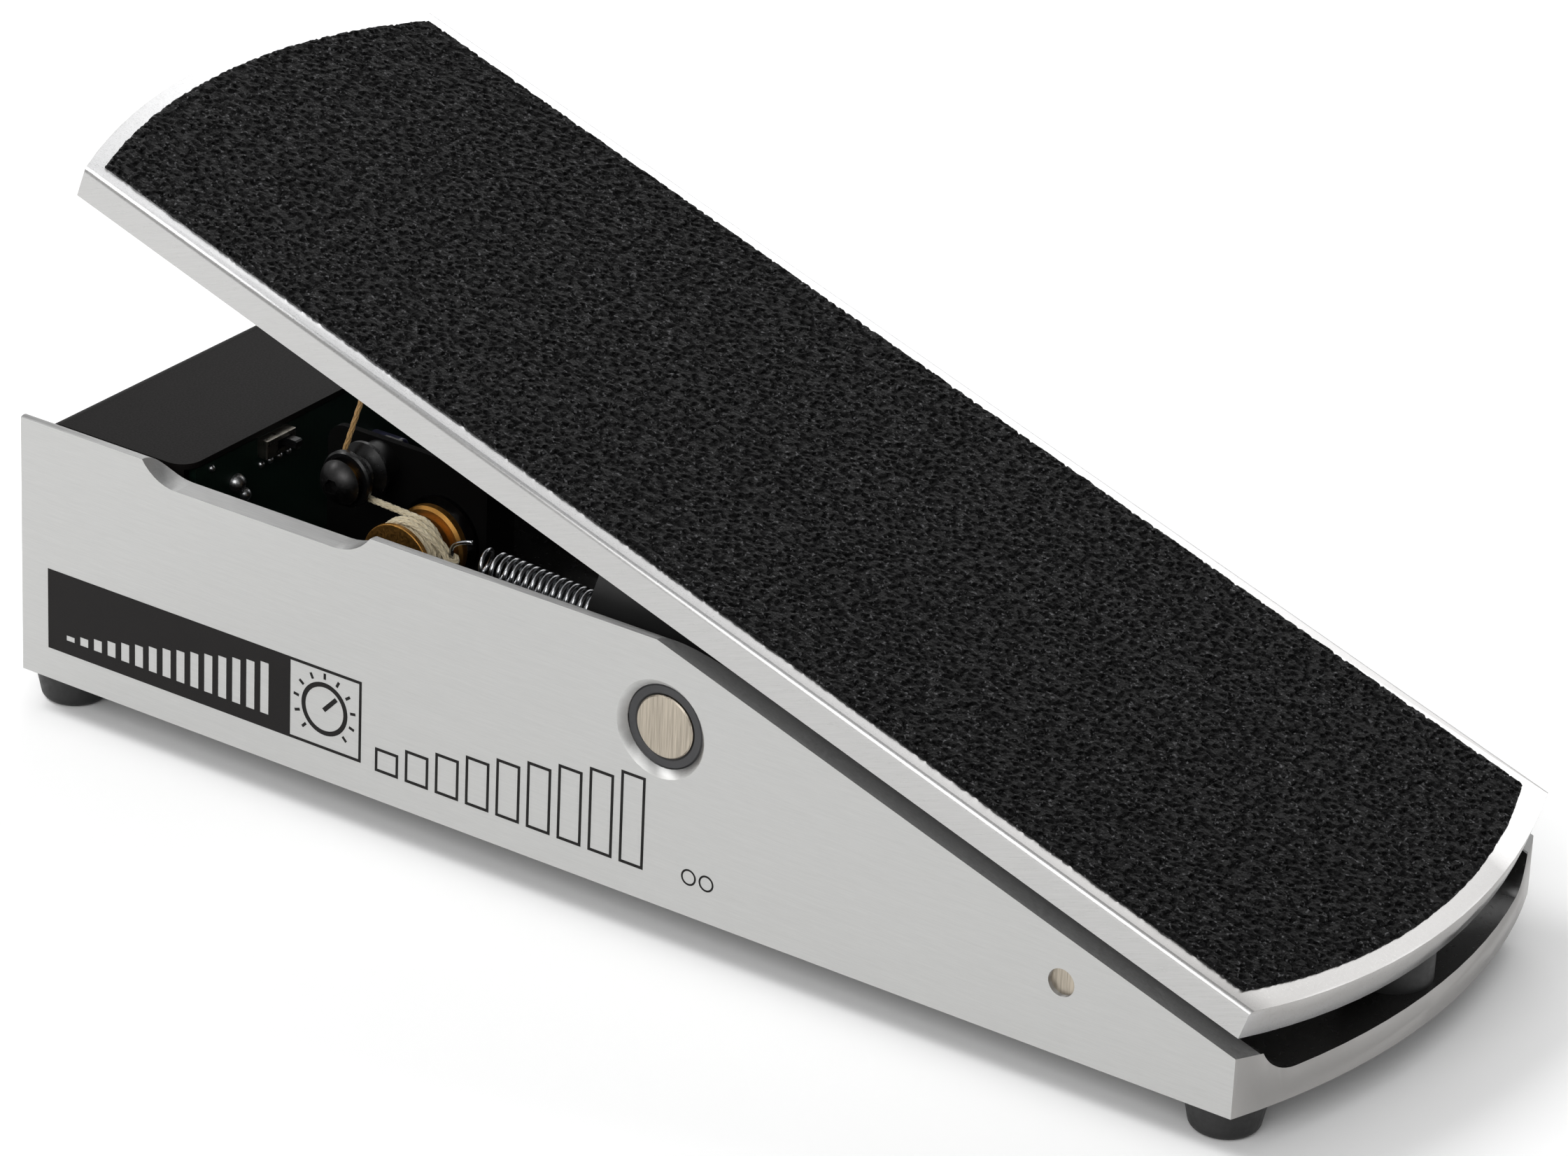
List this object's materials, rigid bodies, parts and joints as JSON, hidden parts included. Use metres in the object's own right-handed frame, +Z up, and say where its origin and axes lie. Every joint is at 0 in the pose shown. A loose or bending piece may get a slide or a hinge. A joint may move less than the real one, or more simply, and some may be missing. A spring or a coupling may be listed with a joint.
{
  "type": "volume pedal",
  "caption": "Foot volume pedal: thick aluminium channel base with a long rocking treadle, string-driven potentiometer spool, return spring and plug jacks at the toe.",
  "frame": {"origin": "centre of the overall box at rest, on the surface that the rubber feet stand on", "axes": "+Z up, +X from the toe end to the heel end, +Y to the side away from the string mechanism"},
  "size_m": [0.3012, 0.108, 0.1227],
  "materials": {
    "brushed_aluminium": "satin, brushed along its length",
    "black_rubber": "matte moulded rubber",
    "zinc_screw": "zinc plated",
    "black_steel": "black oxide, satin",
    "black_painted_sheet": "satin black powder coat",
    "jack_plastic": "black moulded plastic",
    "nickel_plate": "nickel plated",
    "solder": "bright solder",
    "board_green": "dark green solder mask",
    "component_body": "moulded component bodies",
    "plated_can": "plated steel can",
    "black_nylon": "black acetal, faint sheen",
    "lead_insulation": "thin insulated wire",
    "bright_steel": "bright drawn wire and rod",
    "axle_steel": "faced ends with fine brush lines",
    "brass": "blasted brass",
    "cream_string": "braided cream cord",
    "grip": "coarse gritted rubber sheet"
  },
  "bodies": {
    "base": {"base_channel": "brushed_aluminium", "feet": "black_rubber", "foot_screws": "zinc_screw", "jack_cover": "black_painted_sheet", "jack_panel": "black_painted_sheet", "cover_screws": "black_steel", "input_jack": "jack_plastic", "output_jack": "jack_plastic", "jack_washers": "nickel_plate", "jack_nuts": "nickel_plate", "circuit_board": "board_green", "solder_joints": "solder", "board_components": "component_body", "lead_connector": "black_nylon", "slide_switch_case": "nickel_plate", "mechanism_bracket": "black_painted_sheet", "bracket_screws": "zinc_screw", "potentiometer": "plated_can", "potentiometer_washer": "black_nylon", "potentiometer_nut": "nickel_plate", "potentiometer_leads": "lead_insulation", "idler_screw": "black_steel", "idler_bush": "brass", "idler_nut": "zinc_screw", "string_run": "cream_string", "string_tail": "cream_string", "tension_spring": "bright_steel", "spring_anchor": "bright_steel", "axle_bush_near": "black_nylon", "axle_bush_far": "black_nylon", "heel_cross_rod": "axle_steel", "heel_bumper": "black_rubber", "heel_bumper_screw": "black_steel"},
    "treadle": {"treadle_plate": "brushed_aluminium", "grip_sheet": "grip", "axle_shaft": "axle_steel", "pivot_lug_near": "black_painted_sheet", "pivot_lug_far": "black_painted_sheet", "lug_screws": "black_steel", "lug_set_screws": "black_steel", "string_eyelet": "brass", "string_knot": "cream_string", "string_riser": "cream_string", "toe_bumpers": "black_rubber"},
    "spool": {"string_spool": "brass", "spool_set_screw": "black_steel", "potentiometer_shaft": "bright_steel", "string_windings": "cream_string"},
    "idler": {"idler_pulley": "black_nylon"},
    "spring_hook": {"spring_hook": "bright_steel", "string_loop": "cream_string"},
    "switch_knob": {"slide_switch_knob": "jack_plastic"}
  },
  "joints": [
    {"name": "treadle_hinge", "type": "hinge", "parent": "base", "child": "treadle", "pos_m": [0.01325, 0, 0.0445], "axis": [0, -1, 0], "range_deg": [0, 17.5], "deforming": ["string_riser"]},
    {"name": "spool_spin", "type": "hinge", "parent": "base", "child": "spool", "pos_m": [-0.06625, -0.025, 0.0454], "axis": [0, 1, 0], "range_deg": [-5, 260]},
    {"name": "idler_spin", "type": "hinge", "parent": "base", "child": "idler", "pos_m": [-0.08165, -0.024, 0.0572], "axis": [0, -1, 0], "range_deg": [-5, 430]},
    {"name": "spring_stretch", "type": "slide", "parent": "base", "child": "spring_hook", "axis": [0.998, 0, -0.0628], "range_m": [0, 0.0304], "deforming": ["tension_spring", "string_tail"]},
    {"name": "switch_slide", "type": "slide", "parent": "base", "child": "switch_knob", "axis": [0, -1, 0], "range_m": [0, 0.0022]}
  ],
  "couplings": [
    {"joint": "spool_spin", "follows": "treadle_hinge", "ratio": 14.381},
    {"joint": "idler_spin", "follows": "treadle_hinge", "ratio": 24.202},
    {"joint": "spring_stretch", "follows": "treadle_hinge", "m_per_rad": 0.09923}
  ]
}
